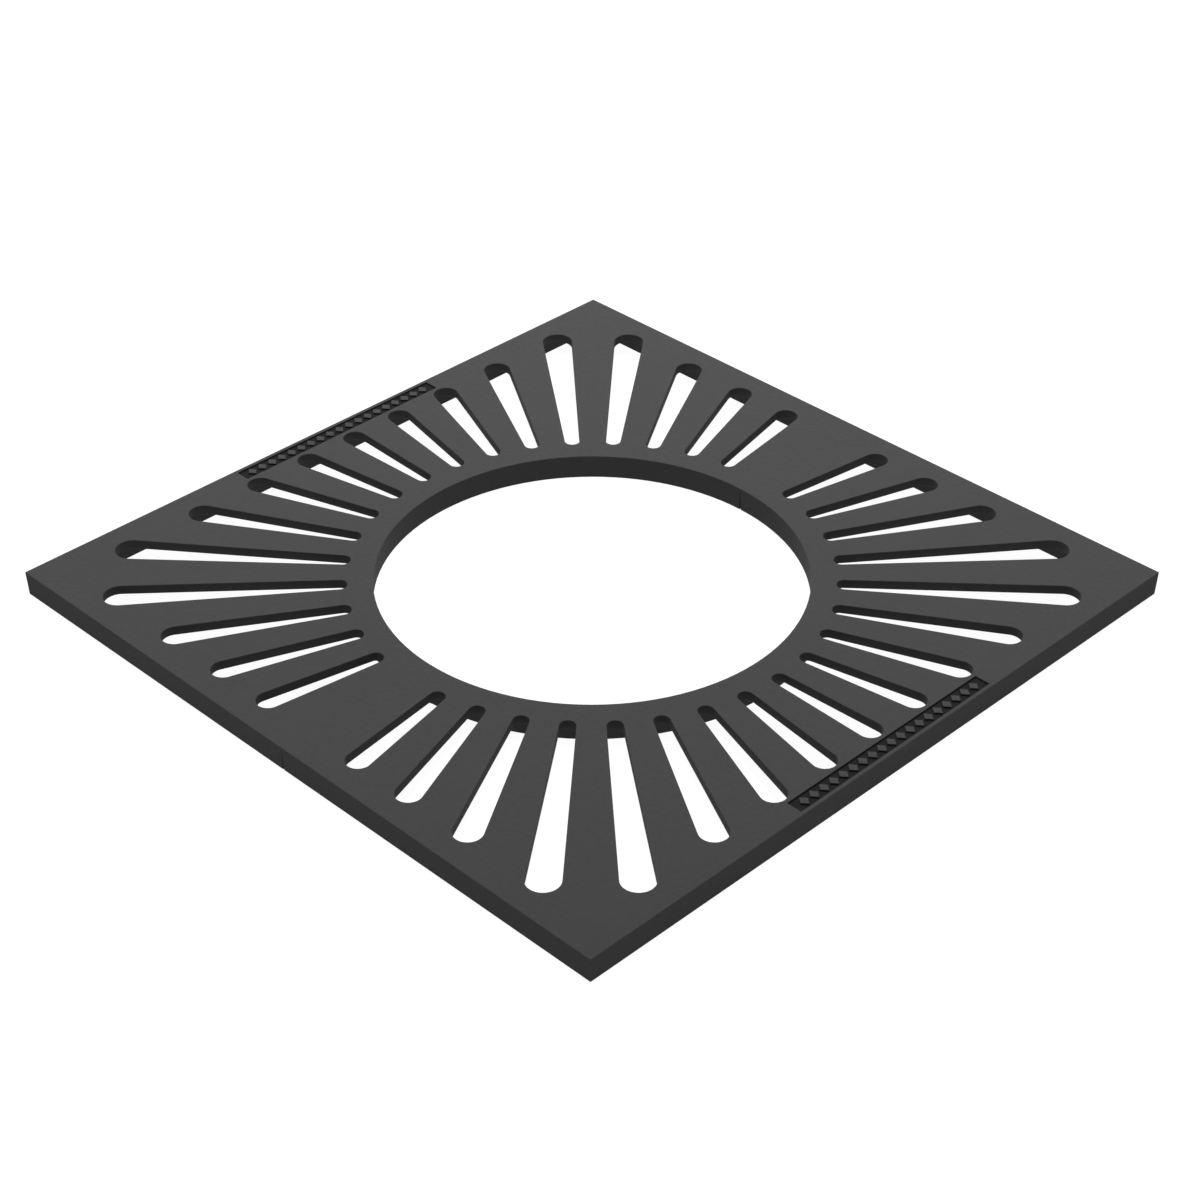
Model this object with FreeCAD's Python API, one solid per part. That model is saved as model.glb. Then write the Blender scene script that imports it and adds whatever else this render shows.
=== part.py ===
"""Square cast-iron tree grate in two halves, bolted together along a seam through the trunk opening.

Each half is one casting: a slotted plate stiffened underneath by a rim round its outer sides, by half of
the ring round the trunk opening, and by a flange along the seam. The slots are round-ended wedges that
widen away from the trunk and all stop on a square line inside the rim. The outside, the opening, the rims
and the seam taper for moulding. Both halves come from one pattern: the left half is the right half turned
half a turn.

Millimetres. Origin at the centre of the trunk opening on the underside, +Z up, seam along Y.
"""

import FreeCAD, Part
import math
import os

# The square and its depth
side = 1200.0  # across the top face
depth = 40.0  # full depth of the rim, the ring and the seam flange
plate = 15.0  # thickness of the slotted plate
draft_deg = 2.2  # moulding taper of the outside, the opening, the rims and the seam

# Trunk opening and stiffening rims
opening_radius = 327.0  # at the top face
ring_width = 27.0  # ring round the opening, at the underside
rim_width = 27.0  # rim inside the outer faces, at the underside
flange_width = 20.0  # flange beside the seam, at the underside
pocket_corner_radius = 14.0  # upright inner corners between the rims
seam_clearance = 0.1  # from the seam plane to each half's top edge

# Slots
slot_pitch_deg = 10.0
slot_inner_margin = 38.0  # from the opening's edge to the slots' inner ends
slot_inner_radius = 12.0
slot_half_angle_deg = 2.25  # each side of a slot leans out from its centre line by this
slot_margin = 38.5  # from the slots' outer ends to the outer face
seam_land_deg = 6.0  # no slot starts within this angle of the seam

# Shallow panel in each half's outer margin, with a row of raised lozenge studs
panel_length = 400.0
panel_width = 25.0
panel_depth = 3.0
panel_margin = 6.5  # from the panel to the outer face
stud_pitch = 20.0
stud_length = 15.0  # along the panel, at the stud's top
stud_width = 18.0  # across the panel, at the stud's top
stud_lean = 0.6  # how far a stud's foot stands out beyond its top
panel_end_gap = 6.0  # bare floor beyond the last stud

# Bolt bosses on the seam flanges, two on each side of the opening
boss_rise = 5.0  # how far the washer's seat stands out from the flange's foot
boss_width = 40.0  # along the seam, at the underside
bolt_pitch = 60.0  # between the two bolts on each side of the opening
bolt_clearance = 0.5  # round the bolt in the castings

# Fasteners: an M10 bolt, a washer and a nut in each pair of bosses
bolt_radius = 5.0
bolt_tail = 4.6  # thread showing beyond the nut, which makes the bolt 65 long
hex_across_flats = 16.0
head_height = 6.4
nut_height = 8.4
washer_radius = 10.0
washer_thickness = 2.0
washer_clearance = 0.25
thread_clearance = 0.05  # between the bolt and the nut's bore

# What follows from those sizes
taper = math.tan(math.radians(draft_deg))
slot_lean = math.radians(slot_half_angle_deg)
underside = depth - plate
bolt_height = underside / 2
boss_reach = flange_width + boss_rise  # from the seam plane to the washer's seat
overcut = 2.0  # how far a cutting solid runs past the face that it opens

origin = FreeCAD.Vector(0, 0, 0)
x_axis = FreeCAD.Vector(1, 0, 0)
up = FreeCAD.Vector(0, 0, 1)


def line(start, end):
    return Part.LineSegment(start, end).toShape()


def arc(start, middle, end):
    return Part.Arc(start, middle, end).toShape()


def on_circle(centre, radius, angle):
    """Point on a level circle, at an angle in radians from +X."""
    return centre + FreeCAD.Vector(radius * math.cos(angle), radius * math.sin(angle), 0)


def tapered(outline, low, high):
    """Solid between an outline at height low and the same outline at height high."""
    return Part.makeLoft([outline(low), outline(high)], True, True)


def half_square(z):
    """Outline of one half at height z, before the opening is cut."""
    lean = (depth - z) * taper
    seam = seam_clearance + lean
    edge = side / 2 - lean
    corners = [(seam, -edge), (edge, -edge), (edge, edge), (seam, edge)]
    points = [FreeCAD.Vector(x, y, z) for x, y in corners]
    return Part.makePolygon(points + points[:1])


def pocket(z):
    """Outline at height z of the hollow under the plate, between the rim, the ring and the seam flange."""
    r = pocket_corner_radius - z * taper
    wall = seam_clearance + (depth + z) * taper + flange_width
    rim = side / 2 - (depth + z) * taper - rim_width
    ring = opening_radius + (depth + z) * taper + ring_width
    rise = math.sqrt((ring + r) ** 2 - (wall + r) ** 2)  # to the corner arc that touches ring and flange
    turn = math.atan2(rise, wall + r)
    west, quarter = math.pi, math.pi / 2
    edges, ring_ends, rim_ends = [], [], []
    for sign in (-1, 1):
        by_ring = FreeCAD.Vector(wall + r, sign * rise, z)
        by_flange = FreeCAD.Vector(wall + r, sign * (rim - r), z)
        by_rim = FreeCAD.Vector(rim - r, sign * (rim - r), z)
        ring_end = on_circle(by_ring, r, sign * (west + turn))
        flange_low, flange_high = on_circle(by_ring, r, west), on_circle(by_flange, r, west)
        back_low, back_high = on_circle(by_flange, r, sign * quarter), on_circle(by_rim, r, sign * quarter)
        rim_end = on_circle(by_rim, r, 0)
        edges.append(arc(ring_end, on_circle(by_ring, r, sign * (west + turn / 2)), flange_low))
        edges.append(line(flange_low, flange_high))
        edges.append(arc(flange_high, on_circle(by_flange, r, sign * 1.5 * quarter), back_low))
        edges.append(line(back_low, back_high))
        edges.append(arc(back_high, on_circle(by_rim, r, sign * 0.5 * quarter), rim_end))
        ring_ends.append(ring_end)
        rim_ends.append(rim_end)
    edges.append(line(*rim_ends))
    edges.append(arc(ring_ends[0], FreeCAD.Vector(ring, 0, z), ring_ends[1]))
    return Part.Wire(Part.__sortEdges__(edges))


def slot(angle_deg):
    """Cutter for a slot: an arc near the trunk, a larger one outside and the two lines that touch both."""
    off_normal = math.radians((angle_deg + 45) % 90 - 45)
    inner = opening_radius + slot_inner_margin + slot_inner_radius
    apex = inner - slot_inner_radius / math.sin(slot_lean)
    reach = side / 2 - slot_margin
    outer = (reach + apex * math.sin(slot_lean)) / (math.cos(off_normal) + math.sin(slot_lean))
    outer_radius = (outer - apex) * math.sin(slot_lean)
    ray = math.radians(angle_deg)
    touch = math.pi / 2 + slot_lean
    low = origin + up * (underside - overcut)
    near = on_circle(low, inner, ray)
    far = on_circle(low, outer, ray)
    near_left, near_right = [on_circle(near, slot_inner_radius, ray + turn) for turn in (touch, -touch)]
    far_left, far_right = [on_circle(far, outer_radius, ray + turn) for turn in (touch, -touch)]
    outline = [
        line(far_left, near_left),
        arc(near_left, on_circle(near, slot_inner_radius, ray + math.pi), near_right),
        line(near_right, far_right),
        arc(far_right, on_circle(far, outer_radius, ray), far_left),
    ]
    return Part.Face(Part.Wire(outline)).extrude(up * (plate + 2 * overcut))


def slot_angles():
    """Angles of one half's slots, leaving the seam's own land whole."""
    count = int((90 - seam_land_deg) / slot_pitch_deg)
    return [n * slot_pitch_deg for n in range(-count, count + 1)]


def lozenge(x, y, grow, z):
    half_width, half_length = stud_width / 2 + grow, stud_length / 2 + grow
    tips = [(x + half_width, y), (x, y + half_length), (x - half_width, y), (x, y - half_length)]
    points = [FreeCAD.Vector(px, py, z) for px, py in tips]
    return Part.makePolygon(points + points[:1])


def panel_cutter():
    """The panel's hollow, with the studs left standing in it."""
    x_high = side / 2 - panel_margin
    x_low = x_high - panel_width
    floor = depth - panel_depth
    length = FreeCAD.Vector(x_low, -panel_length / 2, floor)
    hollow = Part.makeBox(panel_width, panel_length, panel_depth + overcut, length)
    lean_up = stud_lean * overcut / panel_depth
    room = panel_length - 2 * panel_end_gap - stud_length
    gaps = int(room / stud_pitch)
    studs = []
    for n in range(gaps + 1):
        y = (n - gaps / 2) * stud_pitch
        x = (x_low + x_high) / 2
        foot = lozenge(x, y, stud_lean, floor)
        top = lozenge(x, y, -lean_up, depth + overcut)
        studs.append(Part.makeLoft([foot, top], True, True))
    return hollow.cut(Part.makeCompound(studs))


def boss(y):
    """Block on the seam flange: square faces for the other half and for the washer, tapered ends."""
    top = underside + overcut
    foot = boss_width / 2
    head = foot + top * taper
    corners = [(-foot, 0), (foot, 0), (head, top), (-head, top)]
    points = [FreeCAD.Vector(0, y + across, z) for across, z in corners]
    return Part.Face(Part.makePolygon(points + points[:1])).extrude(x_axis * boss_reach)


def bolt_places():
    """Each bolt's distance along the seam, by the name of its place: a pair about each flange's middle."""
    middle = (opening_radius + ring_width + side / 2 - rim_width) / 2
    inner, outer = middle - bolt_pitch / 2, middle + bolt_pitch / 2
    return {"front_outer": -outer, "front_inner": -inner, "back_inner": inner, "back_outer": outer}


def bolt_hole(y):
    radius = bolt_radius + bolt_clearance
    start = FreeCAD.Vector(-overcut, y, bolt_height)
    return Part.makeCylinder(radius, boss_reach + 2 * overcut, start, x_axis)


def half_casting():
    """The right half, with the seam at x = 0."""
    body = tapered(half_square, 0, depth)
    low, high = -overcut, depth + overcut
    widest = opening_radius + (depth - low) * taper
    narrowest = opening_radius + (depth - high) * taper
    opening = Part.makeCone(widest, narrowest, high - low, up * low, up)
    hollow = tapered(pocket, low, underside)
    slots = [slot(angle) for angle in slot_angles()]
    casting = body.cut([opening, hollow, panel_cutter()] + slots)
    casting = casting.fuse([boss(y) for y in bolt_places().values()]).removeSplitter()
    return casting.cut([bolt_hole(y) for y in bolt_places().values()])


def hexagon(height):
    """Hexagonal prism on z = 0, as for a nut or a bolt's head."""
    corner = hex_across_flats / 2 / math.cos(math.radians(30))
    points = [on_circle(origin, corner, math.radians(60 * n)) for n in range(7)]
    return Part.Face(Part.makePolygon(points)).extrude(up * height)


def laid_along_x(shape, x, y):
    """Turns a piece made along Z to point along +X, with its foot at x on the bolt's line."""
    shape = shape.copy()
    shape.rotate(origin, FreeCAD.Vector(0, 1, 0), 90)
    shape.translate(FreeCAD.Vector(x, y, bolt_height))
    return shape


def bolt(y):
    """Hexagon bolt with its head on the left half's boss and its thread in the right half."""
    length = 2 * boss_reach + washer_thickness + nut_height + bolt_tail
    shank = Part.makeCylinder(bolt_radius, length)
    head = hexagon(head_height)
    head.translate(up * -head_height)
    return laid_along_x(shank.fuse(head).removeSplitter(), -boss_reach, y)


def washer(y):
    disc = Part.makeCylinder(washer_radius, washer_thickness)
    bore = Part.makeCylinder(bolt_radius + washer_clearance, washer_thickness)
    return laid_along_x(disc.cut(bore), boss_reach, y)


def nut(y):
    bore = Part.makeCylinder(bolt_radius + thread_clearance, nut_height)
    return laid_along_x(hexagon(nut_height).cut(bore), boss_reach + washer_thickness, y)


def pieces():
    """Every piece by the name of its node."""
    right = half_casting()
    left = right.copy()
    left.rotate(origin, up, 180)
    found = {"left_half_grate": left, "right_half_grate": right}
    for place, y in bolt_places().items():
        found["bolt_" + place] = bolt(y)
        found["washer_" + place] = washer(y)
        found["nut_" + place] = nut(y)
    return found


os.makedirs("parts", exist_ok=True)
for name, shape in pieces().items():
    shape.exportStep("parts/" + name + ".step")
    box = shape.optimalBoundingBox(False, False)
    print(
        "%-26s valid %s, %d solid(s), %d faces, %.1f cm3, %.1f x %.1f x %.1f mm"
        % (
            name,
            shape.isValid(),
            len(shape.Solids),
            len(shape.Faces),
            shape.Volume / 1000,
            box.XLength,
            box.YLength,
            box.ZLength,
        )
    )
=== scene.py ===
# %% [markdown]
# # A cast-iron tree grate in two halves
#
# The grate is a square iron frame that lies flush with the paving round a tree. Slots fan out from the
# round trunk opening, and the square comes in two castings, so that it can be laid round a tree that
# already stands there. Four bolts under the plate hold the halves together.
#
# The measured model already gives every piece its size and place. This lesson only adds what the mould,
# the years and the light add: rounded edges, real screw threads, the grain of sand-cast iron, dull zinc
# on the bolts, and a plain studio to look at it in.

import math

import bmesh
import bpy
import numpy as np
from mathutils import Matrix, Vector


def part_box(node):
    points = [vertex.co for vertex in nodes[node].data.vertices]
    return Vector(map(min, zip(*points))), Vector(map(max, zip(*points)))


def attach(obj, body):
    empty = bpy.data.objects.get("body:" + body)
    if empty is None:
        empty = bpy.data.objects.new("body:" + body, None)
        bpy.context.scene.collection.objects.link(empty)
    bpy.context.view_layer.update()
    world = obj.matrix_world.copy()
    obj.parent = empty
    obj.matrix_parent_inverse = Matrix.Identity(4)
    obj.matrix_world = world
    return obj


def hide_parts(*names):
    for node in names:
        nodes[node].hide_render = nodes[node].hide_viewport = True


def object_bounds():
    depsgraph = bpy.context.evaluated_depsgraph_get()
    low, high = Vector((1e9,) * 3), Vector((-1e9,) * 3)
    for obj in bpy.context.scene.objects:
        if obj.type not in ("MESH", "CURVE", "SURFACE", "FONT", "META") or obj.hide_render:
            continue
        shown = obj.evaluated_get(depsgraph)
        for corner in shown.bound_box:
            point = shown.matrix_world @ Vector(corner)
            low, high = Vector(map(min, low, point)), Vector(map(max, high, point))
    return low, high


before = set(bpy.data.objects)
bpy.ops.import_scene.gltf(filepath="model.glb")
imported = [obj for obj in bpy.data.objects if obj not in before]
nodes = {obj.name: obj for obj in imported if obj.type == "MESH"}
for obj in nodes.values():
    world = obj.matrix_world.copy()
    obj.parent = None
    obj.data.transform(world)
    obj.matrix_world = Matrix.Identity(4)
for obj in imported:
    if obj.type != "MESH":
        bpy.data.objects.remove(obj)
cad_low, cad_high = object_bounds()
print("nodes:", len(nodes), "size in metres:", [round(v, 4) for v in cad_high - cad_low])

# %% [markdown]
# ## The sizes that everything else follows
#
# The depth, the side and the places of the bolts are read from the model's own boxes, so a later change
# of the model moves the new pieces with it. What a box can't show is repeated from the drawing: here the
# plate's thickness, the lean of the seam and the two shallow panels, and further on the bolt pads and the
# fasteners' own sizes.

# %% Read the main sizes
side = cad_high.x - cad_low.x
depth = cad_high.z - cad_low.z
plate = 0.015
draft = math.tan(math.radians(2.2))
seam_gap = 0.0001
panel_length, panel_width, panel_depth = 0.400, 0.025, 0.003
panel_margin = 0.0065
underside = depth - plate
panel_floor = depth - panel_depth
panel_outer = side / 2 - panel_margin
panel_inner = panel_outer - panel_width
places = ("front_outer", "front_inner", "back_inner", "back_outer")
halves = {"left": "left_half", "right": "right_half"}
print("side %.3f m, depth %.3f m, underside of the plate at %.3f m" % (side, depth, underside))

# %% [markdown]
# ## Joining a casting's faces
#
# Iron shrinks and rubs in the sand, so a real casting has no sharp edge: the top edges are eased by
# about a millimetre, and the inner corners under the plate are filled by a few millimetres, because
# sand can't hold a sharp corner. Rounding could be faked in the material, but then it is lost when the
# model goes elsewhere, and the outline stays sharp. So it is made in the mesh.
#
# The model's faces are already right, and every slot's outline with them. Its mesh is loose triangles,
# though, and a rounded edge needs faces that know their neighbours. A copy is welded, and triangles
# that lie in one plane are joined. A few lines have to stay inside a flat face, because a face can't
# have a hole, and they must meet its outline steeply: where a line runs off at a shallow angle, the
# rounding would push its end far along it and fold the face over. So every line that stands at 45
# degrees or more to the true edges at its ends is marked as a seam, and only the others are dissolved.
#
# The measured halves stand a fifth of a millimetre apart at the top, which would show as a fine line.
# The real ones are bolted up until their top edges meet, so those edges are brought together here, all
# but a hundredth of a millimetre each. Further down the seam still opens with the lean of its faces.

# %% Weld a copy of a casting
weld_distance = 2e-6
flat_angle = math.radians(0.5)
steep = math.radians(45)
seam_touch = 0.00001


def angles_to_outline(line, true_edges):
    """Angles between a line inside a flat face and each true edge that starts at one of its ends."""
    return [
        (line.other_vert(end).co - end.co).angle(edge.other_vert(end).co - end.co)
        for end in line.verts
        for edge in end.link_edges
        if edge in true_edges
    ]


def close_seam(shape):
    """Moves the corners of the seam's top edge to a hundredth of a millimetre from the seam's plane."""
    for corner in shape.verts:
        if abs(corner.co.x) < 2 * seam_gap and corner.co.z > depth - seam_gap:
            corner.co.x = math.copysign(seam_touch, corner.co.x)


def welded_copy(node, name):
    """Copy of a node's mesh, corners merged and coplanar triangles joined, apart from the steep lines."""
    shape = bmesh.new()
    shape.from_mesh(nodes[node].data)
    bmesh.ops.remove_doubles(shape, verts=shape.verts, dist=weld_distance)
    true_edges = {edge for edge in shape.edges if edge.calc_face_angle(0) > flat_angle}
    for line in set(shape.edges) - true_edges:
        line.seam = min(angles_to_outline(line, true_edges), default=0) > steep
    bmesh.ops.dissolve_limit(
        shape, angle_limit=flat_angle, verts=shape.verts, edges=shape.edges, delimit={"SEAM"}
    )
    close_seam(shape)
    mesh = bpy.data.meshes.new(name)
    shape.to_mesh(mesh)
    shape.free()
    return mesh


castings = {half: welded_copy(half + "_half_grate", half + "_casting") for half in halves}
for half, mesh in castings.items():
    print(half, "casting:", len(mesh.vertices), "corners,", len(mesh.polygons), "faces")

# %% [markdown]
# ## Finding the edges to round
#
# An edge is rounded by how it was made. Seen from outside, an edge either sticks out, as along a slot,
# or it is an inner corner, as where the rim meets the plate. The formula is short: take the normal of
# one face, and the direction that leads from the edge into the other face. If that direction falls
# below the first face, the edge sticks out. The whole mesh is worked out at once, as arrays.

# %% Measure every edge
def face_corners(mesh):
    """For each corner of each face: its face, its edge, and the vertices at the edge's two ends."""
    count = len(mesh.loops)
    vertex = np.empty(count, np.int32)
    edge = np.empty(count, np.int32)
    start = np.empty(len(mesh.polygons), np.int32)
    total = np.empty(len(mesh.polygons), np.int32)
    mesh.loops.foreach_get("vertex_index", vertex)
    mesh.loops.foreach_get("edge_index", edge)
    mesh.polygons.foreach_get("loop_start", start)
    mesh.polygons.foreach_get("loop_total", total)
    face = np.repeat(np.arange(len(start)), total)
    following = np.arange(count) + 1
    following[start + total - 1] = start
    return face, edge, vertex, vertex[following]


def edge_facts(mesh):
    """Turn in degrees, whether it sticks out, middle and direction of every edge, as arrays.

    The turn is the angle between the two faces' normals. The edge sticks out where the direction into
    the second face falls below the first.
    """
    place = np.empty(len(mesh.vertices) * 3, np.float32)
    normal = np.empty(len(mesh.polygons) * 3, np.float32)
    mesh.vertices.foreach_get("co", place)
    mesh.polygons.foreach_get("normal", normal)
    place, normal = place.reshape(-1, 3).astype(float), normal.reshape(-1, 3).astype(float)
    face, edge, first, second = face_corners(mesh)
    along = place[second] - place[first]
    along /= np.linalg.norm(along, axis=1, keepdims=True)
    into_face = np.cross(normal[face], along)
    order = np.argsort(edge, kind="stable").reshape(-1, 2)
    one, other = order[:, 0], order[:, 1]
    cosine = np.sum(normal[face[one]] * normal[face[other]], axis=1)
    sticks_out = np.sum(normal[face[one]] * into_face[other], axis=1) < 0
    middle = (place[first[one]] + place[second[one]]) / 2
    return np.degrees(np.arccos(np.clip(cosine, -1, 1))), sticks_out, middle, along[one]


sharp_turn = 30.0
turn = edge_facts(castings["right"])[0]
print("edges that turn more than 30 degrees:", int((turn > sharp_turn).sum()), "of", len(turn))

# %% [markdown]
# ## How round each edge is
#
# The widest rounding is the fill in the corners under the plate. The underside's outer edges come next,
# then the worn top edges. The bolt pads stand out from their flange by 3.4 mm at the foot and by only
# 2.4 mm at the plate, so what is rounded there has to be narrower. The seam's faces are ground to fit, so
# their edges stay sharp, and the seam hardly shows from above. The bolt holes are drilled, so they stay
# sharp too.

# %% Choose a radius for every edge
stud_radius = 0.0005
top_radius = 0.0009
slot_foot_radius = 0.0008
rim_foot_radius = 0.0012
corner_fill = 0.0025
pad_radius = 0.0008
pad_low, pad_high = 0.0205, 0.0249
pad_half = 0.0225
hole_reach = 0.0065
mostly_upright = 0.5
near = 0.0002


def from_bolt_line(y, z):
    """Distance of each edge from the nearest bolt's line, along the seam and straight."""
    lines = np.array([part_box("bolt_" + place)[0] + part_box("bolt_" + place)[1] for place in places]) / 2
    across = y[:, None] - np.abs(lines[:, 1])
    return np.abs(across).min(axis=1), np.hypot(across, z[:, None] - lines[:, 2]).min(axis=1)


def edge_radii(mesh):
    """Radius in metres for each edge, by its height, its side and where it lies."""
    turn, sticks_out, middle, along = edge_facts(mesh)
    x, y, z = np.abs(middle[:, 0]), np.abs(middle[:, 1]), middle[:, 2]
    radius = np.where(sticks_out, top_radius, corner_fill)
    radius[sticks_out & (np.abs(z - underside) < near)] = slot_foot_radius
    radius[sticks_out & (z < near)] = rim_foot_radius
    in_panel = (z > panel_floor - near) & (z < depth - near)
    radius[in_panel] = stud_radius
    along_seam, from_line = from_bolt_line(y, z)
    upright = np.abs(along[:, 2]) > mostly_upright
    by_pad = (along_seam < pad_half) & (x > pad_low) & (x < pad_high + 2 * near)
    radius[by_pad & (upright | (x < pad_high) & ~sticks_out)] = pad_radius
    on_seam = x < seam_gap + (depth - z) * draft + near
    radius[on_seam] = 0
    radius[from_line < hole_reach] = 0
    radius[turn < sharp_turn] = 0
    return radius


for name, mesh in castings.items():
    radii = edge_radii(mesh)
    print(name, "edges rounded:", int((radii > 0).sum()), "widest %.1f mm" % (radii.max() * 1000))

# %% [markdown]
# ## Rounding them
#
# The Bevel modifier rounds each edge by a weight, from nothing to the full width. It could also go by
# angle alone, but then the seam would get the same groove as a slot. Weighted normals keep the flat
# faces flat in the light and let only the narrow rounded strips turn.

# %% Round the castings
rounding_facets = 3


def rounded(mesh, name, radii):
    """Object whose edges are rounded to the given radii by a Bevel modifier."""
    weight = mesh.attributes.new("bevel_weight_edge", "FLOAT", "EDGE")
    weight.data.foreach_set("value", (radii / radii.max()).astype(np.float32))
    sharp = mesh.attributes.new("sharp_edge", "BOOLEAN", "EDGE")
    sharp.data.foreach_set("value", (radii == 0) & (edge_facts(mesh)[0] > sharp_turn))
    mesh.shade_smooth()
    piece = bpy.data.objects.new(name, mesh)
    bpy.context.scene.collection.objects.link(piece)
    bevel = piece.modifiers.new("rounded edges", "BEVEL")
    bevel.limit_method = "WEIGHT"
    bevel.width = radii.max()
    bevel.segments = rounding_facets
    bevel.use_clamp_overlap = False
    flat = piece.modifiers.new("flat faces", "WEIGHTED_NORMAL")
    flat.weight = 100
    flat.keep_sharp = True
    return piece


casting_pieces = {}
for half, body in halves.items():
    mesh = castings[half]
    piece = rounded(mesh, half + "_casting", edge_radii(mesh))
    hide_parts(half + "_half_grate")
    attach(piece, body)
    casting_pieces[half] = piece

shown = bpy.context.evaluated_depsgraph_get()
for half, piece in casting_pieces.items():
    print(half, "casting, rounded:", len(piece.evaluated_get(shown).data.polygons), "faces")

# %% [markdown]
# ## Rings of points
#
# Bolts, nuts and washers are all turned or rolled round one axis, so each can be a stack of rings: one
# array of points, a row for each ring and a column for each direction round the axis. A hexagon and a
# screw thread are rings too, whose radius changes with the direction. Modelling them by hand with
# extrusions would work as well, but the array says the whole shape in a few lines.

# %% Turn a stack of rings into a piece
columns = 72
around = np.arange(columns) / columns * 2 * np.pi
crisp_angle = math.radians(32)


def ring_faces(rows, closed):
    """Four-sided faces between each ring and the next, and from the last to the first if closed."""
    ring = np.arange(rows if closed else rows - 1)[:, None]
    column = np.arange(columns)[None, :]
    onward = (column + 1) % columns
    above = (ring + 1) % rows
    corners = [ring * columns + column, ring * columns + onward, above * columns + onward,
               above * columns + column]
    return np.stack(corners, axis=-1).reshape(-1, 4)


def stacked_rings(name, radius, travel, start, closed=False):
    """Piece whose rings have the given radius and distance along +X from start, both rows by columns.

    A point is start, plus the travel along X, plus the radius times cosine and sine of its direction
    along Y and Z. An open stack is closed by a flat face at each end.
    """
    radius, travel = np.broadcast_arrays(radius, travel)
    points = np.empty(radius.shape + (3,))
    points[..., 0] = start[0] + travel
    points[..., 1] = start[1] + radius * np.cos(around)
    points[..., 2] = start[2] + radius * np.sin(around)
    rows = len(radius)
    faces = ring_faces(rows, closed).tolist()
    if not closed:
        faces.append(list(range(columns))[::-1])
        faces.append(list(range((rows - 1) * columns, rows * columns)))
    mesh = bpy.data.meshes.new(name)
    mesh.from_pydata(points.reshape(-1, 3), [], faces)
    mesh.shade_smooth()
    mesh.set_sharp_from_angle(angle=crisp_angle)
    piece = bpy.data.objects.new(name, mesh)
    bpy.context.scene.collection.objects.link(piece)
    return piece


print("columns in every ring:", columns)

# %% [markdown]
# ## The hexagon and the thread as formulas
#
# A hexagon is where six half-planes meet. At any direction, its radius is the distance to the nearest
# flat, which is the half width over the cosine of the angle to that flat. The six cosines, raised to a
# high power, added up and taken back to the root, give the same hexagon with slightly rounded corners,
# as on a forged bolt.
#
# A thread is a groove that moves one pitch along the axis for each turn. So its depth depends only on
# the distance along the axis less the turn round it: that one number, wrapped to one pitch, is looked
# up on the profile of a metric thread, with its flat crest, its two flanks and its wider root.

# %% Hexagon and thread
bolt_radius = 0.005
flats = 0.016
pitch = 0.0015
thread_depth = 0.6134 * pitch
crest_share, flank_share = 0.125, 0.625
corner_power = 90
chamfer_slope = math.tan(math.radians(30))


def hexagon_radius():
    """Radius in each direction: half the width, over the power sum of the cosines to the six flats."""
    to_flat = around[:, None] - np.radians(30 + 60 * np.arange(6))[None, :]
    nearness = np.sum(np.clip(np.cos(to_flat), 0, 1) ** corner_power, axis=1)
    return flats / 2 / nearness ** (1 / corner_power)


def thread_cut(along_axis):
    """Depth of the groove: distance in pitches less turns, wrapped to one, then crest, flank and root."""
    phase = (along_axis / pitch - around[None, :] / (2 * np.pi)) % 1
    from_crest = 1 - np.abs(2 * phase - 1)
    return thread_depth * np.clip((from_crest - crest_share) / flank_share, 0, 1)


print("hexagon: %.2f mm over the flats" % (2000 * hexagon_radius().min()))

# %% [markdown]
# ## The bolts
#
# Each bolt is a standard hexagon bolt, 10 mm thick and 65 mm long under its head. Its head has a
# 30 degree chamfer on top and a thin washer face below. The last 26 mm are threaded. The rings run from
# the top of the head to the tip. The bolt's length and place are measured from the model's box, and its
# other sizes are given here.

# %% Make the bolts
head_height = 0.0064
washer_face = 0.0004
chamfer_radius = 0.0074
thread_length = 0.026
tip_chamfer = 0.001
rings_per_pitch = 12


def bolt_rings(length):
    """Radius and distance of every ring of a bolt, from the top of its head to its tip.

    The head is seven rings: the chamfer rises with the hexagon's own radius, then come the flats, the
    washer face and the plain shank. The thread is the bolt's radius less the groove, which deepens over
    two pitches, and the tip is cut off at 45 degrees.
    """
    hexagon = hexagon_radius()
    level = np.ones(columns)
    head = [
        (chamfer_radius * level, 0 * level),
        (hexagon, (hexagon - chamfer_radius) * chamfer_slope),
        (hexagon, (head_height - washer_face) * level),
        (chamfer_radius * level, (head_height - washer_face) * level),
        (chamfer_radius * level, head_height * level),
        (bolt_radius * level, head_height * level),
        (bolt_radius * level, (length - thread_length - pitch) * level),
    ]
    count = int(thread_length / pitch * rings_per_pitch)
    travel = np.linspace(length - thread_length, length, count + 1)[:, None]
    fade_in = np.clip((travel - travel[0]) / (2 * pitch), 0, 1)
    tip = bolt_radius - np.clip(travel - (length - tip_chamfer), 0, None)
    radius = np.minimum(bolt_radius - fade_in * thread_cut(travel - length), tip)
    head_radius, head_travel = zip(*head)
    return np.vstack(head_radius + (radius,)), np.vstack(head_travel + (travel * level,))


def fastener(kind, place, radius, travel, closed, body):
    """Puts rings on a bolt's line, in place of the model's plain piece of the same name."""
    node = kind + "_" + place
    low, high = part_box(node)
    start = (low.x, (low.y + high.y) / 2, (low.z + high.z) / 2)
    piece = stacked_rings("turned_" + node, radius, travel, start, closed)
    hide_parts(node)
    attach(piece, body)
    return piece


fasteners = []
for place in places:
    low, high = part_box("bolt_" + place)
    radius, travel = bolt_rings(high.x - low.x)
    fasteners.append(fastener("bolt", place, radius, travel, False, "left_half"))
print("bolts:", len(fasteners), "each", len(fasteners[0].data.polygons), "faces")

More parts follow.
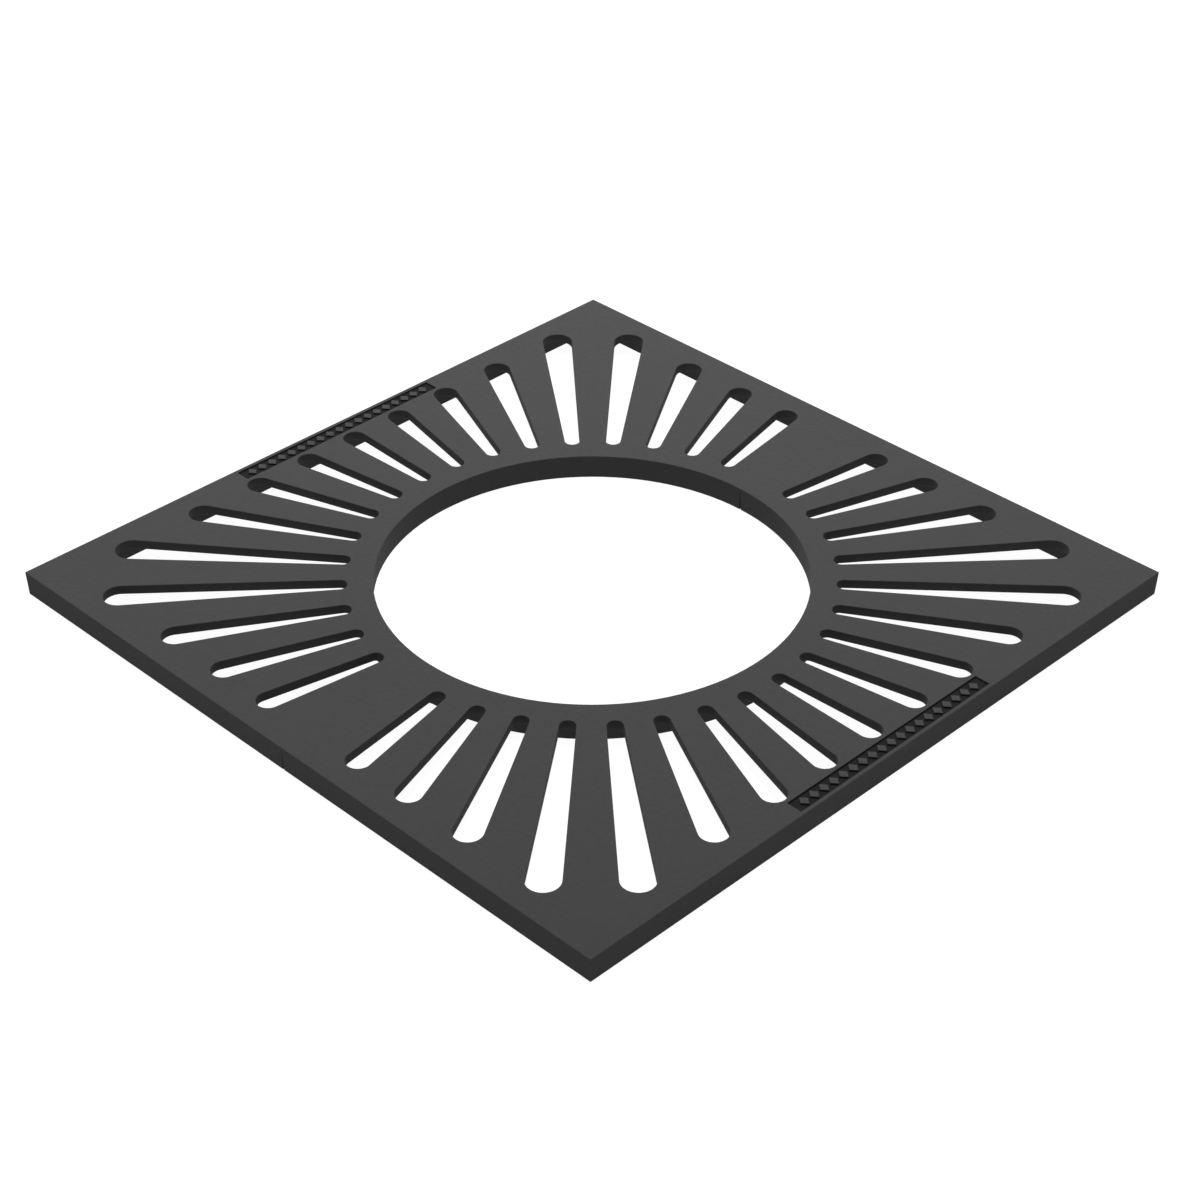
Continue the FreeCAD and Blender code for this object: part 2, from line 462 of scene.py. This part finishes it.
# %% [markdown]
# ## The nuts
#
# A nut is a hexagon with a threaded bore. Both ends are chamfered outside, and the bore opens in a short
# countersink so that the bolt finds its way in. The bore's thread is the bolt's own thread with a
# twentieth of a millimetre of room, and it uses the same phase along the axis, so ridge lies in groove.
# The rings run up the outside and back down the bore, and the last joins the first.

# %% Make the nuts
thread_room = 0.00005
countersink = 0.0006


def nut_rings(height, from_tip):
    """Radius and distance of a nut's rings; from_tip is its foot's distance behind the bolt's tip.

    Six rings go up the outside, with the hexagon's chamfer at both ends. The bore is the bolt's radius
    and some room, less the ridge that fills the bolt's groove.
    """
    hexagon = hexagon_radius()
    level = np.ones(columns)
    slope = (hexagon - chamfer_radius) * chamfer_slope
    mouth = bolt_radius + thread_room + countersink
    outside_radius = [mouth * level, chamfer_radius * level, hexagon, hexagon, chamfer_radius * level,
                      mouth * level]
    outside_travel = [0 * level, 0 * level, slope, height - slope, height * level, height * level]
    count = int(height / pitch * rings_per_pitch)
    down = np.linspace(height - countersink, countersink, count)[:, None]
    bore = bolt_radius + thread_room - thread_cut(down - from_tip)
    return np.vstack(outside_radius + [bore]), np.vstack(outside_travel + [down * level])


nuts = []
for place in places:
    low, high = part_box("nut_" + place)
    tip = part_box("bolt_" + place)[1].x
    radius, travel = nut_rings(high.x - low.x, tip - low.x)
    nuts.append(fastener("nut", place, radius, travel, True, "right_half"))
fasteners += nuts
print("nuts:", len(nuts), "each", len(nuts[0].data.polygons), "faces")

# %% [markdown]
# ## The washers
#
# A washer is punched from sheet. The punch draws the edge down on one side, so that side is rounded,
# and the other keeps a crisp edge. That is one closed outline carried round the axis: four points would
# do for a plain ring, and a quarter circle at two of its corners gives the drawn edge.

# %% Make the washers
washer_room = 0.00025
drawn_edge = 0.0005
bend_points = 6


def washer_rings(outer, thickness):
    """Rings of a washer whose far side is rounded by the punch at its rim and at its hole.

    The outline is the flat near side, then a quarter circle at the rim and another at the hole.
    """
    inner = bolt_radius + washer_room
    bend = np.radians(np.linspace(0, 90, bend_points))
    rim_radius = outer - drawn_edge + drawn_edge * np.cos(bend)
    rim_travel = thickness - drawn_edge + drawn_edge * np.sin(bend)
    hole_radius = inner + drawn_edge - drawn_edge * np.sin(bend)
    hole_travel = thickness - drawn_edge + drawn_edge * np.cos(bend)
    radius = np.concatenate([[inner, outer], rim_radius, hole_radius])
    travel = np.concatenate([[0, 0], rim_travel, hole_travel])
    return radius[:, None] * np.ones(columns), travel[:, None] * np.ones(columns)


washers = []
for place in places:
    low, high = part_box("washer_" + place)
    radius, travel = washer_rings((high.y - low.y) / 2, high.x - low.x)
    washers.append(fastener("washer", place, radius, travel, True, "right_half"))
fasteners += washers
print("washers:", len(washers), "each", len(washers[0].data.polygons), "faces")

# %% [markdown]
# ## Helpers for nodes
#
# A finish is a tree of nodes, and three kinds of node come back in every tree below: a group, which packs
# a smaller tree into one node, a piece of arithmetic, and a noise. Each gets a helper here, so that the
# effects further on read as short formulas. The noise takes Object coordinates. They are metres on the
# piece itself, so the grain has its real size everywhere and doesn't slide when a half is moved.

# %% Node helpers
def new_group(name, inputs, outputs):
    """Empty node group with float inputs given as name: value, and float outputs by name."""
    group = bpy.data.node_groups.new(name, "ShaderNodeTree")
    for label, value in inputs.items():
        socket = group.interface.new_socket(label, in_out="INPUT", socket_type="NodeSocketFloat")
        socket.default_value = value
    for label in outputs:
        group.interface.new_socket(label, in_out="OUTPUT", socket_type="NodeSocketFloat")
    return group, group.nodes.new("NodeGroupInput"), group.nodes.new("NodeGroupOutput")


def math_node(tree, operation, first, second=None, third=None, clamp=False):
    """Math node on up to three values or sockets, returning its output."""
    node = tree.nodes.new("ShaderNodeMath")
    node.operation = operation
    node.use_clamp = clamp
    for socket, value in zip(node.inputs, (first, second, third)):
        if isinstance(value, bpy.types.NodeSocket):
            tree.links.new(value, socket)
        elif value is not None:
            socket.default_value = value
    return node.outputs[0]


def noise_node(tree, scale, detail=4.0, roughness=0.5):
    """Noise on Object coordinates, at scale patches per metre."""
    place = tree.nodes.new("ShaderNodeTexCoord")
    node = tree.nodes.new("ShaderNodeTexNoise")
    tree.links.new(place.outputs["Object"], node.inputs["Vector"])
    if isinstance(scale, bpy.types.NodeSocket):
        tree.links.new(scale, node.inputs["Scale"])
    else:
        node.inputs["Scale"].default_value = scale
    node.inputs["Detail"].default_value = detail
    node.inputs["Roughness"].default_value = roughness
    return node.outputs["Fac"]


print("node helpers:", new_group.__name__, math_node.__name__, noise_node.__name__)

# %% [markdown]
# ## Shared effects: where edges are worn
#
# Feet and barrows polish the edges of a grate. The Bevel node bends the normal near an edge, so how far
# it departs from the surface's own normal is a measure of how close the edge is. Noise breaks the line
# up. The effect is a node group, because the iron and the zinc both use it, each with its own amount and
# its own size of patches.

# %% Edge wear
wear_reach = 0.003
wear_contrast = 6.0
wear_samples = 8


def edge_wear_group():
    """Mask of worn edges: one less the cosine between the bent and the own normal, times noise."""
    tree, given, result = new_group("edge wear", {"Amount": 0.5, "Patches": 60.0}, ["Mask"])
    bent = tree.nodes.new("ShaderNodeBevel")
    bent.samples = wear_samples
    bent.inputs["Radius"].default_value = wear_reach
    own = tree.nodes.new("ShaderNodeNewGeometry")
    together = tree.nodes.new("ShaderNodeVectorMath")
    together.operation = "DOT_PRODUCT"
    tree.links.new(bent.outputs["Normal"], together.inputs[0])
    tree.links.new(own.outputs["Normal"], together.inputs[1])
    apart = math_node(tree, "SUBTRACT", 1.0, together.outputs["Value"])
    stretched = math_node(tree, "MULTIPLY", apart, wear_contrast, clamp=True)
    broken = math_node(tree, "MULTIPLY", stretched, noise_node(tree, given.outputs["Patches"]))
    worn = math_node(tree, "MULTIPLY", broken, given.outputs["Amount"], clamp=True)
    tree.links.new(worn, result.inputs["Mask"])
    return tree


edge_wear = edge_wear_group()
print("group:", edge_wear.name)

# %% [markdown]
# ## Shared effects: the skin left by the mould
#
# Molten iron takes the print of the sand, grain by grain. At arm's length that is a fine tooth, about
# a millimetre across, over softer lumps of several millimetres where the sand was rammed unevenly.
# Two noises of different size, added together, give a height that a Bump node can turn into light.

# %% Sand skin
grain_share, lump_share = 0.5, 0.5


def sand_skin_group():
    """Height of the cast skin from 0 to 1: fine grains plus soft lumps, each by its share."""
    tree, given, result = new_group("sand skin", {"Grains": 900.0, "Lumps": 120.0}, ["Height", "Lumps"])
    grains = noise_node(tree, given.outputs["Grains"], detail=3.0, roughness=0.6)
    lumps = noise_node(tree, given.outputs["Lumps"], detail=3.0, roughness=0.5)
    small = math_node(tree, "MULTIPLY", grains, grain_share)
    large = math_node(tree, "MULTIPLY", lumps, lump_share)
    tree.links.new(math_node(tree, "ADD", small, large), result.inputs["Height"])
    tree.links.new(lumps, result.inputs["Lumps"])
    return tree


sand_skin = sand_skin_group()
print("group:", sand_skin.name)

# %% [markdown]
# ## Shared effects: dust
#
# Pale street dust settles in patches on faces that look up. The mask is the upward part of the surface's
# normal, patched by a broad noise.

# %% Dust
def dust_group():
    """Mask of dust: the upward part of the normal, times broad patches; Upward is that part alone."""
    tree, given, result = new_group("dust", {"Amount": 0.2, "Patches": 7.0}, ["Mask", "Upward"])
    own = tree.nodes.new("ShaderNodeNewGeometry")
    split = tree.nodes.new("ShaderNodeSeparateXYZ")
    tree.links.new(own.outputs["Normal"], split.inputs[0])
    upward = math_node(tree, "MULTIPLY", split.outputs["Z"], 1.0, clamp=True)
    patches = noise_node(tree, given.outputs["Patches"], detail=6.0, roughness=0.6)
    patched = math_node(tree, "MULTIPLY", upward, patches)
    tree.links.new(math_node(tree, "MULTIPLY", patched, given.outputs["Amount"]), result.inputs["Mask"])
    tree.links.new(upward, result.inputs["Upward"])
    return tree


dust = dust_group()
print("group:", dust.name)

# %% [markdown]
# ## Helpers for finishes
#
# A finish places the shared groups with its own values, blends colours by masks, and turns a height into
# light and shade with a Bump node. A mask is a number from 0 to 1 at every point. Masks multiplied
# together leave only the places where all of them hold.

# %% Finish helpers
def place_group(tree, group, **values):
    """Node that places a group in a material with its own values."""
    node = tree.nodes.new("ShaderNodeGroup")
    node.node_tree = group
    for label, value in values.items():
        node.inputs[label].default_value = value
    return node


def blend_colour(tree, mask, first, second):
    """Mix of two colours, or of a colour socket and a colour, by a mask."""
    node = tree.nodes.new("ShaderNodeMix")
    node.data_type = "RGBA"
    tree.links.new(mask, node.inputs[0])
    if isinstance(first, bpy.types.NodeSocket):
        tree.links.new(first, node.inputs[6])
    else:
        node.inputs[6].default_value = first
    node.inputs[7].default_value = second
    return node.outputs[2]


def ramp(tree, value, start, end):
    """Value from 0 at start to 1 at end, held flat outside them."""
    node = tree.nodes.new("ShaderNodeMapRange")
    node.inputs["From Min"].default_value = start
    node.inputs["From Max"].default_value = end
    tree.links.new(value, node.inputs["Value"])
    return node.outputs["Result"]


def product(tree, *masks):
    """All the masks multiplied together."""
    result = masks[0]
    for mask in masks[1:]:
        result = math_node(tree, "MULTIPLY", result, mask)
    return result


def bump(tree, height, distance):
    """Bump node: height from 0 to 1 stands for distance in metres."""
    node = tree.nodes.new("ShaderNodeBump")
    node.inputs["Strength"].default_value = 1.0
    node.inputs["Distance"].default_value = distance
    tree.links.new(height, node.inputs["Height"])
    return node.outputs["Normal"]


print("finish helpers:", place_group.__name__, blend_colour.__name__, ramp.__name__, product.__name__,
      bump.__name__)

# %% [markdown]
# ## Where on the grate a point lies
#
# Three places look different from the rest. Feet tread the top smooth. The seam's edges shelter each
# other, so they don't wear. The shallow panels get painted shade: their floor and walls are coloured
# darker to stand for the shade in the recess. These places could be painted on the mesh, but each can be
# told from a point's own coordinates, and such a formula stays crisp at any size.

# %% Tell the places apart
top_starts, top_full = depth - 0.0013, depth - 0.0003
shelter_ends, wear_full = 0.002, 0.006
soft = 0.0004


def places_on_grate(tree):
    """Masks by Object coordinates: level with the top, away from the seam, and inside a panel."""
    place = tree.nodes.new("ShaderNodeTexCoord")
    split = tree.nodes.new("ShaderNodeSeparateXYZ")
    tree.links.new(place.outputs["Object"], split.inputs[0])
    height = split.outputs["Z"]
    from_seam = math_node(tree, "ABSOLUTE", split.outputs["X"])
    from_middle = math_node(tree, "ABSOLUTE", split.outputs["Y"])
    at_top = ramp(tree, height, top_starts, top_full)
    off_seam = ramp(tree, from_seam, shelter_ends, wear_full)
    # inside a panel: the floor and walls of the recess, where the painted shade goes
    in_panel = product(
        tree,
        ramp(tree, from_seam, panel_inner - soft, panel_inner),
        ramp(tree, from_seam, panel_outer + soft, panel_outer),
        ramp(tree, from_middle, panel_length / 2 + soft, panel_length / 2),
        math_node(tree, "SUBTRACT", 1.0, at_top),
        ramp(tree, height, panel_floor - 2 * soft, panel_floor - soft),
    )
    return at_top, off_seam, in_panel


print("trodden above %.1f mm, no wear within %.0f mm of the seam, panels %.0f by %.0f mm" % (
    top_starts * 1000, shelter_ends * 1000, panel_length * 1000, panel_width * 1000))

# %% [markdown]
# ## Cast iron
#
# The iron in the picture is dark, neutral and matt, and its top grows lighter towards the far corner.
# The iron has no paint: bare grey iron in the open darkens to an even skin. Feet keep the top smoother
# than the raw sides, and a smoother face mirrors more of the white room where it is seen at a low angle,
# so the far corner is lighter. The colour is one dark grey, shifted slightly by the lumps, lightened a
# touch where edges are worn and where dust lies, and darkened in the panels by painted shade that stands
# for the shade in those recesses.

# %% Make the cast iron
iron_dark = (0.050, 0.0505, 0.051, 1)
iron_light = (0.060, 0.0605, 0.061, 1)
iron_worn = (0.105, 0.105, 0.104, 1)
iron_dusty = (0.110, 0.107, 0.102, 1)
# painted shade: a near-black grey that stands for the shade inside the panels
painted_panel_shade = (0.018, 0.018, 0.018, 1)
wear_on_iron = 0.55
dust_on_iron = 0.12
raw_roughness = 0.72
mottling = 0.10
smoothing = 0.45
skin_height = 0.0006
iron_specular = 0.10


def cast_iron():
    """Dark, uncoated cast iron: trodden smooth on top, raw on the sides, with painted shade in the panels.
    """
    material = bpy.data.materials.new("cast iron")
    material.use_nodes = True
    tree = material.node_tree
    surface = tree.nodes["Principled BSDF"]
    skin = place_group(tree, sand_skin)
    worn = place_group(tree, edge_wear, Amount=wear_on_iron)
    dusty = place_group(tree, dust, Amount=dust_on_iron)
    colour = blend_colour(tree, skin.outputs["Lumps"], iron_dark, iron_light)
    colour = blend_colour(tree, dusty.outputs["Mask"], colour, iron_dusty)
    at_top, off_seam, in_panel = places_on_grate(tree)
    rubbed = math_node(tree, "MULTIPLY", worn.outputs["Mask"], off_seam)
    colour = blend_colour(tree, rubbed, colour, iron_worn)
    # painted shade: the panels' floor and walls are coloured darker where the recess would lie in shade
    colour = blend_colour(tree, in_panel, colour, painted_panel_shade)
    tree.links.new(colour, surface.inputs["Base Color"])
    trodden = product(tree, dusty.outputs["Upward"], at_top, smoothing)
    rough = math_node(tree, "MULTIPLY_ADD", skin.outputs["Lumps"], mottling, raw_roughness)
    rough = math_node(tree, "SUBTRACT", rough, trodden)
    tree.links.new(math_node(tree, "SUBTRACT", rough, rubbed), surface.inputs["Roughness"])
    tree.links.new(bump(tree, skin.outputs["Height"], skin_height), surface.inputs["Normal"])
    surface.inputs["Specular IOR Level"].default_value = iron_specular
    return material


iron = cast_iron()
for piece in casting_pieces.values():
    piece.data.materials.clear()
    piece.data.materials.append(iron)
print("castings finished in", iron.name)

# %% [markdown]
# ## Zinc on steel
#
# The bolts live in the damp under the plate, so they are zinc-coated. Dull zinc is a grey metal with
# cloudy patches. It is a true metal, so nearly all its look is in the roughness: the patches change it
# more than they change the colour.

# %% Make the zinc
zinc_clean = (0.46, 0.465, 0.47, 1)
zinc_cloudy = (0.33, 0.335, 0.34, 1)
zinc_rubbed = (0.62, 0.62, 0.61, 1)
wear_on_zinc = 0.8
clear_roughness, cloud_roughness = 0.30, 0.25
coat_height = 0.00003


def zinc():
    """Dull zinc coat with cloudy patches."""
    material = bpy.data.materials.new("zinc-coated steel")
    material.use_nodes = True
    tree = material.node_tree
    surface = tree.nodes["Principled BSDF"]
    surface.inputs["Metallic"].default_value = 1.0
    clouds = noise_node(tree, 260.0, detail=5.0, roughness=0.6)
    worn = place_group(tree, edge_wear, Amount=wear_on_zinc, Patches=400.0)
    skin = place_group(tree, sand_skin, Grains=5000.0, Lumps=900.0)
    colour = blend_colour(tree, clouds, zinc_clean, zinc_cloudy)
    colour = blend_colour(tree, worn.outputs["Mask"], colour, zinc_rubbed)
    tree.links.new(colour, surface.inputs["Base Color"])
    rough = math_node(tree, "MULTIPLY_ADD", clouds, cloud_roughness, clear_roughness)
    tree.links.new(rough, surface.inputs["Roughness"])
    tree.links.new(bump(tree, skin.outputs["Height"], coat_height), surface.inputs["Normal"])
    return material


coat = zinc()
for piece in fasteners:
    piece.data.materials.append(coat)
print("fasteners finished in", coat.name)

# %% [markdown]
# ## Materials of the hidden pieces
#
# The model's own plain pieces stay in the file behind the rounded ones. They get the same finishes, so
# that nothing bare shows if one of them is ever brought out.

# %% Finish the model's own pieces
for name, node in nodes.items():
    node.data.materials.clear()
    node.data.materials.append(iron if name.endswith("grate") else coat)
print("finished", len(nodes), "plain pieces")

# %% [markdown]
# ## The floor
#
# The picture has no floor to see, only white. A floor is still needed, for the shadow and for the light
# that it throws back under the rim. A floor lit to full white would throw too much of it. So the floor
# itself is grey and glows a little, and to the camera and in reflections it glows enough to be white.
# From below it is clear, so that the underside can be looked at.

# %% Lay the floor
floor_half = 9.0
floor_drop = 0.0002
floor_grey = (0.15, 0.15, 0.15, 1)
floor_glow = 0.97
floor_bounce = 0.52


def looked_at(tree):
    """One for rays that come straight from the camera, from a mirror or through glass, else nothing."""
    path = tree.nodes.new("ShaderNodeLightPath")
    seen = math_node(tree, "MAXIMUM", path.outputs["Is Camera Ray"], path.outputs["Is Glossy Ray"])
    return math_node(tree, "MAXIMUM", seen, path.outputs["Is Transmission Ray"])


def floor_material():
    """Grey to light, white to the camera, clear from below."""
    material = bpy.data.materials.new("studio floor")
    material.use_nodes = True
    tree = material.node_tree
    tree.nodes.clear()
    output = tree.nodes.new("ShaderNodeOutputMaterial")
    grey = tree.nodes.new("ShaderNodeBsdfDiffuse")
    grey.inputs["Color"].default_value = floor_grey
    glow = tree.nodes.new("ShaderNodeEmission")
    extra = floor_glow - floor_bounce
    strength = math_node(tree, "MULTIPLY_ADD", looked_at(tree), extra, floor_bounce)
    tree.links.new(strength, glow.inputs["Strength"])
    both = tree.nodes.new("ShaderNodeAddShader")
    tree.links.new(grey.outputs[0], both.inputs[0])
    tree.links.new(glow.outputs[0], both.inputs[1])
    clear = tree.nodes.new("ShaderNodeBsdfTransparent")
    face = tree.nodes.new("ShaderNodeNewGeometry")
    sides = tree.nodes.new("ShaderNodeMixShader")
    tree.links.new(face.outputs["Backfacing"], sides.inputs[0])
    tree.links.new(both.outputs[0], sides.inputs[1])
    tree.links.new(clear.outputs[0], sides.inputs[2])
    tree.links.new(sides.outputs[0], output.inputs["Surface"])
    return material


corners = floor_half * np.array([(-1, -1, 0), (1, -1, 0), (1, 1, 0), (-1, 1, 0)], float)
corners[:, 2] = cad_low.z - floor_drop
floor_mesh = bpy.data.meshes.new("floor")
floor_mesh.from_pydata(corners, [], [(0, 1, 2, 3)])
floor = bpy.data.objects.new("floor", floor_mesh)
floor.data.materials.append(floor_material())
bpy.context.scene.collection.objects.link(floor)
print("floor: %.0f m square" % (2 * floor_half))

# %% [markdown]
# ## The light
#
# The picture's top is evenly lit. Its near outer faces are less than half as bright, the two alike, and
# even the walls inside the slots are never black. So one large soft lamp hangs overhead, a little behind
# the grate, and the sides get only what the floor throws back and the world's weak, even fill. The lamp
# is left out of reflections: its image in the trodden top would show as a bright patch, and what the top
# should mirror is the plain white room.

# %% Hang the lamp
view_side = np.array([1, -1, 0]) / math.sqrt(2)
upward = np.array([0, 0, 1.0])
lamp_height, lamp_setback = 4.0, 1.0
lamp_width, lamp_power = 2.5, 160.0


def lamp(name, place, width, power):
    """Square soft lamp that looks at the middle of the grate and stays out of reflections."""
    data = bpy.data.lights.new(name, "AREA")
    data.shape = "SQUARE"
    data.size = width
    data.energy = power
    light = bpy.data.objects.new(name, data)
    bpy.context.scene.collection.objects.link(light)
    light.location = place
    aim = Vector((0, 0, depth)) - light.location
    light.rotation_euler = aim.to_track_quat("-Z", "Y").to_euler()
    light.visible_glossy = False
    return light


lamp_place = lamp_height * upward - lamp_setback * view_side
overhead = lamp("overhead", lamp_place, lamp_width, lamp_power)
print("lamp:", overhead.name, "%.0f W" % overhead.data.energy)

# %% [markdown]
# ## The world
#
# To the camera and in reflections the world is plain white, as the picture's background. To everything
# else it is a weak fill.

# %% Set the world
world_fill = 0.09
world = bpy.data.worlds.new("studio")
bpy.context.scene.world = world
world.use_nodes = True
sky = world.node_tree
fill = sky.nodes["Background"]
fill.inputs["Color"].default_value = (1, 1, 1, 1)
strength = math_node(sky, "MULTIPLY_ADD", looked_at(sky), 1 - world_fill, world_fill)
sky.links.new(strength, fill.inputs["Strength"])
print("world fill:", world_fill)

# %% [markdown]
# ## The camera
#
# The camera was worked out from the corners of the square in the picture. It looks down on the near
# corner from about 35 degrees, through a lens of 80 mm on a 36 mm frame.

# %% Set the camera
camera_place = Vector((2.3376, -2.3210, 2.2936))
camera_aim = Vector((0.0599, -0.0432, 0.0400))
lens, frame_width = 80.04, 36.0
camera = bpy.data.objects.new("camera", bpy.data.cameras.new("camera"))
bpy.context.scene.collection.objects.link(camera)
camera.data.lens = lens
camera.data.sensor_width = frame_width
camera.location = camera_place
camera.rotation_euler = (camera_aim - camera_place).to_track_quat("-Z", "Y").to_euler()
bpy.context.scene.camera = camera
bpy.context.scene.view_settings.view_transform = "Standard"
print("camera at", [round(v, 3) for v in camera_place])
